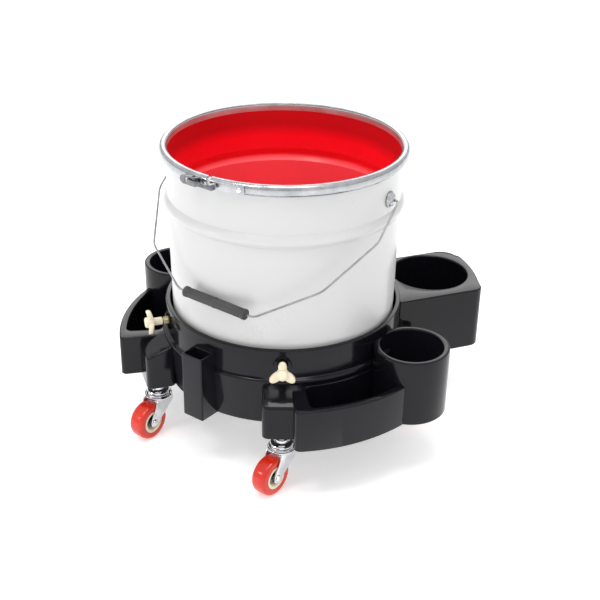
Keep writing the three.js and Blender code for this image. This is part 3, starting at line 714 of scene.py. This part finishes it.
def make_cup(name, azimuth):
    """A round cup at the end of a tray."""
    floor, top, wall, hole = POCKET_FLOOR_Z, HOLDER_TOP_Z, CUP_RADIUS, CUP_HOLE
    profile = [
        (0, BASE_Z - 0.1), (wall - 1.2, BASE_Z - 0.1), (wall, BASE_Z + 1.3), (wall, top - 2.4),
        (wall - 0.5, top - 0.8), (wall - 2, top), (hole + 2.2, top), (hole + 0.6, top - 0.7),
        (hole, top - 2.2), (hole - 0.2, floor + 4), (hole - 1.6, floor + 1), (hole - 4.5, floor), (0, floor),
    ]
    return lathe(name, profile, Matrix.Translation(polar(CUP_CENTRE, azimuth)), sides=96)


def block_shapes():
    """Outer and inner outlines of the big pocket, sampled at the same angles about its middle."""
    outline = [
        (150, BLOCK_NEAR), *arc(15, (265, BLOCK_NEAR + 15), -90, -28), *arc(200, (95.5, 42), -20, 3, 24),
        *arc(24, (267.5, BLOCK_FAR - 24), 12, 90), (150, BLOCK_FAR),
    ]
    middle = Vector(BLOCK_MIDDLE)
    return sample(outline, middle), sample(arc(BLOCK_HOLE, BLOCK_MIDDLE, 0, 360, 240), middle)


def sample(outline, centre, count=220):
    """Where rays from the centre meet an outline."""
    found = []
    edges = [(Vector(outline[i - 1]) - centre, Vector(outline[i]) - centre) for i in range(len(outline))]
    for k in range(count):
        angle = 2 * math.pi * k / count
        ray = Vector((math.cos(angle), math.sin(angle)))
        best = None
        for a, b in edges:
            span = b - a
            turn = ray.x * span.y - ray.y * span.x
            if abs(turn) < 1e-9:
                continue
            reach = (a.x * span.y - a.y * span.x) / turn
            share = (a.x * ray.y - a.y * ray.x) / turn
            if reach > 0 and -1e-6 <= share <= 1 + 1e-6 and (best is None or reach > best):
                best = reach
        found.append(tuple(centre + ray * best))
    return found


def turned(points, azimuth):
    """Turns points about the pail's axis."""
    c, s = math.cos(math.radians(azimuth)), math.sin(math.radians(azimuth))
    return [(c * x - s * y, s * x + c * y) for x, y in points]


def make_pocket(name, mirrored_over):
    """A big round pocket in a squarish block that stands off the ring."""
    outer, inner = (turned(points, BLOCK_AZIMUTH) for points in block_shapes())
    if mirrored_over:
        outer, inner = flip(outer), flip(inner)
    pocket = holder(name, outer, inner, BASE_Z + 0.1, HOLDER_TOP_Z, POCKET_FLOOR_Z, 2.0)
    return cut_away(pocket, well_cutter(WELL_RADIUS, WELL_RADIUS + 1.5))


def housing_top(x):
    """The height of a housing's sloping top at a distance from the pail's axis."""
    slope = ((155, 3.9), (161, 6.0), (166, 7.6), (184, 15.0), (HOUSING_END, 20.2))
    for (x0, drop0), (x1, drop1) in zip(slope, slope[1:]):
        if x <= x1:
            return LEDGE_Z - drop0 - (drop1 - drop0) * max(0.0, x - x0) / (x1 - x0)
    return LEDGE_Z - slope[-1][1]


def make_housing(azimuth):
    """A rounded block with a sloping top, and the flange under it that the caster's stem enters."""
    half, end = HOUSING_HALF, HOUSING_END
    plan = rounded([(WELL_RADIUS, -half), (end, -half), (end, half), (WELL_RADIUS, half)], 10.0, 8)
    middle = Vector((172, 0))

    def inwards(point, inset):
        return Vector(point) + (middle - Vector(point)).normalized() * inset

    loops = [[(*inwards(p, 1.2), BASE_Z - 0.2) for p in plan], [(*p, BASE_Z + 1.0) for p in plan]]
    for inset, drop in ((0, 3.2), (0.5, 1.6), (1.6, 0.5), (3.2, 0)):
        moved = [inwards(p, inset) for p in plan]
        loops.append([(q.x, q.y, housing_top(q.x) - drop) for q in moved])
    for shrink in (0.6, 0.25):
        moved = [middle + (Vector(p) - middle) * shrink for p in plan]
        loops.append([(q.x, q.y, housing_top(q.x) + 0.15) for q in moved])
    turn = Matrix.Rotation(math.radians(azimuth), 4, "Z")
    low = BASE_Z - 0.8
    profile = [(0, low), (10.5, low), (11.2, low + 0.5), (11.2, low + 1.6), (0, low + 1.6)]
    flange = lathe("flange", profile, turn @ Matrix.Translation((CASTER_RADIUS, 0, 0)), sides=40)
    return [stack("housing", loops, turn), flange]


def make_slot_box():
    """A narrow upright slot between two stations."""
    outer = rounded([(154, -16), (185.5, -16), (185.5, 16), (154, 16)], 2.2, 6)
    inner = rounded([(163.5, -13.5), (183, -13.5), (183, 13.5), (163.5, 13.5)], 1.6, 6)
    turn = Matrix.Rotation(math.radians(BOX_AZIMUTH), 4, "Z")
    box = holder("slot_box", outer, inner, BASE_Z + 0.2, HOLDER_TOP_Z, POCKET_FLOOR_Z, 0.9, turn)
    return cut_away(box, well_cutter(WELL_RADIUS + 0.5, WELL_RADIUS + 0.5))


def make_dolly():
    """Ring, holders, housings and clamp bosses, joined as the one moulding."""
    parts = [
        make_well_ring(),
        make_tray("tray_front", False),
        make_tray("tray_left", True),
        make_cup("cup_front", CUP_AZIMUTH),
        make_cup("cup_left", 2 * MIRROR - CUP_AZIMUTH),
        make_pocket("pocket_right", False),
        make_pocket("pocket_back", True),
        make_slot_box(),
    ]
    for azimuth in STATIONS:
        parts += make_housing(azimuth)
    boss = [(6.9, -1.2), (9.4, -1.2), (10.2, -0.4), (10.4, 1.6), (6.9, 1.6)]
    for azimuth in CLAMPS:
        parts.append(lathe("boss", boss, outward(azimuth, 157.2, CLAMP_Z), sides=40))
    dolly = join("dolly_moulding", parts)
    finish_piece(dolly, "dolly", BLACK, "black_moulding", "dolly_body")


make_dolly()


# ---- the clamps ----------------------------------------------------------------

def hexagon(radius, corner):
    """A hexagon with rounded corners."""
    corners = [polar(radius, 60 * k).to_2d() for k in range(6)]
    return rounded(corners, corner, 3)


def thread_profile(core, crest, start, end, pitch, flank, flat):
    """The outline of a thread's turns, from the start height until the end height is passed."""
    points = []
    for k in range(math.ceil((end - start) / pitch)):
        z = start + pitch * k
        points += [(core, z), (crest, z + flank), (crest, z + flank + flat), (core, z + 2 * flank + flat)]
    return points


def make_clamp(number, azimuth):
    """The insert in the ring's wall and the screw through it, from the pail outwards."""
    seat = outward(azimuth, 0, CLAMP_Z)
    width, inner_end, outer_end = 5.6, 151.6, 165.0
    outline = hexagon(width, 0.5)
    bore = hexagon(3.35, 1.6)
    loops = []
    for inset, height in ((0.0, inner_end), (0.0, 163.6), (0.5, 164.8), (0.9, outer_end)):
        shrink = 1 - inset / width
        loops.append([(x * shrink, y * shrink, height) for x, y in outline])
    for widen, height in ((1.12, outer_end), (1.0, 164.4), (1.0, inner_end)):
        loops.append([(x * widen, y * widen, height) for x, y in bore])
    loops.append(loops[0])
    insert = stack(f"clamp_insert_{number}_hex", loops, seat, capped=False)
    finish_piece(insert, "dolly", BRASS, "brass_insert", f"clamp_insert_{number}")
    thread = [
        (0, 147.55), (2.0, 147.55), (2.6, 148.1), *thread_profile(2.62, 3.0, 148.6, 178, 1.0, 0.42, 0.13),
        (2.6, 179), (0, 179),
    ]
    screw = lathe(f"clamp_screw_{number}_thread", thread, seat, sides=24)
    finish_piece(screw, f"clamp_screw_{number}", CHROME, "zinc_steel", f"clamp_screw_{number}")
    make_knob(number, azimuth)


def lobe_outline(scale, count=120):
    """Three round lobes, with waists between them."""
    points = []
    for k in range(count):
        angle = 2 * math.pi * k / count
        lobe = 0.5 - 0.5 * math.cos(3 * angle)
        reach = (6.0 + 11.6 * lobe ** 1.35) * scale
        points.append((reach * math.cos(angle), reach * math.sin(angle)))
    return points


def ribbed_outline(radius, count=72):
    """A circle with twelve low ribs."""
    points = []
    for k in range(count):
        angle = 2 * math.pi * k / count
        reach = radius + (0.35 if math.cos(12 * angle) > 0.1 else 0.0)
        points.append((reach * math.cos(angle), reach * math.sin(angle)))
    return points


def make_knob(number, azimuth):
    """A ribbed shank, a head whose lobes sweep outwards, and a round hub."""
    seat = outward(azimuth, KNOB_SEAT, CLAMP_Z)
    loops = []
    for height, swell in ((0.0, -0.5), (0.4, 0.0), (10.4, 0.0), (12.4, 1.2)):
        loops.append([(x, y, height) for x, y in ribbed_outline(4.75 + swell)])
    shank = stack("shank", loops, seat)
    sweep = 0.34
    levels = (
        (0.80, 10.9), (0.93, 11.2), (1.0, 12.3), (1.0, 15.9), (0.965, 16.9), (0.88, 17.6), (0.6, 18.0),
        (0.3, 18.6),
    )
    loops = []
    for shrink, height in levels:
        outline = lobe_outline(shrink)
        loops.append([(x, y, height + sweep * max(0.0, math.hypot(x, y) - 6)) for x, y in outline])
    head = stack("head", loops, seat)
    profile = [(0, 12), (6.4, 12), (7.0, 12.6), (7.0, 20.4), (6.6, 21.6), (5.4, 22.6), (3, 23), (0, 23)]
    hub = lathe("hub", profile, seat, sides=48)
    knob = join(f"clamp_knob_{number}_lobes", [shank, head, hub])
    finish_piece(knob, f"clamp_knob_{number}", CREAM, "cream_plastic", f"clamp_knob_{number}")


# ---- the casters ----------------------------------------------------------------

def make_caster(number, azimuth, trail):
    """The stem in the dolly, the fork and rivet that swivel, and the wheel between the fork's legs."""
    base = Matrix.Translation(polar(CASTER_RADIUS, azimuth)) @ Matrix.Rotation(math.radians(trail), 4, "Z")
    axle = base @ Matrix.Translation((TRAIL_REACH, 0, WHEEL_RADIUS)) @ Matrix.Rotation(math.pi / 2, 4, "X")
    stem_profile = [
        (0, 60.4), (11.6, 60.4), (13.6, 60.9), (14.9, 62.2), (15, 63.2), (14.2, 64.4), (12.2, 65), (10.4, 65),
        (9.6, 65.4), (8.4, 66.4), (8.2, 69.8), (7.4, 70.6), (6.1, 70.9),
        *thread_profile(5.6, 5.95, 71.2, 84, 1.25, 0.5, 0.15), (5.6, 114), (0, 114),
    ]
    stem = lathe(f"caster_stem_{number}_turned", stem_profile, base, sides=48)
    finish_piece(stem, "dolly", CHROME, "bright_steel", f"caster_stem_{number}")
    make_fork(number, base)
    pin = [
        (0, -15.3), (3.2, -15.2), (4.3, -14.6), (4.6, -13.6), (2.9, -13.5), (2.9, 13.5), (4.6, 13.6),
        (4.6, 14.3), (4.2, 14.6), (2.8, 14.7), (2.4, 15.3), (0, 15.4),
    ]
    rivet = lathe(f"caster_axle_{number}_rivet", pin, axle, sides=32)
    finish_piece(rivet, f"swivel_{number}", CHROME, "zinc_steel", f"caster_axle_{number}")
    make_wheel(number, axle)


def make_wheel(number, axle):
    """A hub, its bearing and a tyre, each a profile of its outer half and the half's reflection."""
    body = f"wheel_{number}"
    hub_half = [
        (8.6, 4.0), (9.2, 4.2), (9.6, 6.6), (10.6, 8.4), (11.2, 9.4), (12.2, 10.2), (15.3, 10.3), (15.45, 0),
    ]
    hub = lathe(f"wheel_hub_{number}_core", mirrored(hub_half), axle, sides=64)
    finish_piece(hub, body, CREAM, "cream_plastic", f"wheel_hub_{number}")
    bearing_half = [
        (3.2, 7.9), (4.2, 8.4), (5.0, 8.4), (5.3, 6.6), (6.6, 6.4), (7.0, 7.6), (8.2, 7.6), (8.5, 6.8),
        (8.5, 4),
    ]
    bearing = lathe(f"wheel_bearing_{number}", mirrored(bearing_half), axle, sides=48)
    finish_piece(bearing, body, RACE, "bright_steel")
    tread_half = [
        (15.5, 10.3), (19.6, 10.6), (22.0, 10.5), (23.6, 9.8), (24.6, 8.4), (25.1, 6.4), (25.35, 3.4),
        (WHEEL_RADIUS, 0),
    ]
    tyre = lathe(f"wheel_tyre_{number}_tread", mirrored(tread_half), axle, sides=96)
    finish_piece(tyre, body, TYRE, "red_tread", f"wheel_tyre_{number}")


def make_fork(number, base):
    """Two swept legs under a square crown, with the ball race's dish on top."""
    corners = [
        (-14.5, 56.0), (-14.6, 48), (-9.0, 42.0), (15.6, 22.6), (18.4, 19.4), (25.6, 19.4), (28.2, 23.4),
        (27.2, 30), (17.2, 49), (14.5, 56.0),
    ]
    outline = rounded(corners, 6, 5)
    upright = base @ Matrix.Rotation(math.pi / 2, 4, "X")
    parts = []
    for low, high in ((-13.2, -11.2), (11.2, 13.2)):
        parts.append(plate("leg", outline, low, high, upright, 0.5, 3))
    top = rounded([(-14.5, -13.2), (14.5, -13.2), (14.5, 13.2), (-14.5, 13.2)], 2.0, 4)
    parts.append(plate("crown", top, 54.2, 56.2, base, 0.6, 3))
    dish = [
        (0, 54.0), (15.6, 54.0), (17.2, 54.6), (18.3, 56), (18.5, 57.6), (18.0, 58.4), (16.9, 58.8),
        (16.4, 59.6), (15.4, 60), (0, 60),
    ]
    parts.append(lathe("dish", dish, base, sides=64))
    fork = join(f"caster_fork_{number}_pressing", parts)
    finish_piece(fork, f"swivel_{number}", CHROME, "zinc_steel", f"caster_fork_{number}")


for place, station in enumerate(CLAMPS, 1):
    make_clamp(place, station)
for place, (station, trail) in enumerate(zip(STATIONS, TRAILS), 1):
    make_caster(place, station, trail)


# ---- floor and light -------------------------------------------------------------

def add_floor():
    """A pale floor, in metres, just under the wheels and wide enough to fill the view."""
    half = 40.0
    corners = [(-half, -half, 0), (half, -half, 0), (half, half, 0), (-half, half, 0)]
    mesh = bpy.data.meshes.new("floor")
    mesh.from_pydata(corners, [], [(0, 1, 2, 3)])
    floor = bpy.data.objects.new("floor", mesh)
    floor.location.z = -0.0005
    bpy.context.scene.collection.objects.link(floor)
    paper = surface("paper_pale", (0.90, 0.90, 0.90), (0.92, 0.92, 0.92), (0.7, 0.8), patch=1, grain=60,
                    bump=0.0)
    shader = paper.node_tree.nodes["Principled BSDF"]
    shader.inputs["Emission Color"].default_value = (1, 1, 1, 1)
    shader.inputs["Emission Strength"].default_value = 0.4
    floor.data.materials.append(paper)


def add_light(name, location, target, size, power, size_y=None):
    """A soft rectangular light, in metres and watts, facing its target."""
    data = bpy.data.lights.new(name, "AREA")
    data.shape = "RECTANGLE"
    data.size = size
    data.size_y = size_y or size
    data.energy = power
    light = bpy.data.objects.new(name, data)
    light.location = location
    aim = Vector(target) - Vector(location)
    light.rotation_euler = aim.to_track_quat("-Z", "Y").to_euler()
    bpy.context.scene.collection.objects.link(light)


def add_studio():
    """A bright sky over a dim horizon, so that upright faces stay dark and level ones shine."""
    world = bpy.data.worlds.new("studio")
    world.use_nodes = True
    tree = world.node_tree
    background = tree.nodes["Background"]
    background.inputs["Strength"].default_value = 1.0
    place = tree.nodes.new("ShaderNodeTexCoord")
    parts = tree.nodes.new("ShaderNodeSeparateXYZ")
    link(tree, place, "Generated", parts, "Vector")
    levels = ((0.0, 0.30), (0.22, 1.0), (0.45, 0.95), (1.0, 1.0))
    ramp = colour_ramp(tree, [(position, (level, level, level)) for position, level in levels])
    link(tree, parts, "Z", ramp, "Fac")
    link(tree, ramp, "Color", background, "Color")
    bpy.context.scene.world = world
    bpy.context.scene.view_settings.view_transform = "Standard"
    middle = (0, 0, 0.2)
    add_light("overhead", (0.1, -0.5, 2.3), middle, 0.8, 14)
    add_light("key", (-0.7, -0.8, 1.9), middle, 0.34, 5.5)
    add_light("left", (-2.4, -1.0, 1.1), middle, 0.22, 4.5)
    add_light("front_right", (1.8, -1.6, 1.2), middle, 0.9, 0.6, 1.6)
    add_light("behind", (0.0, 2.6, 1.9), middle, 2.4, 22, 1.5)


add_floor()
add_studio()
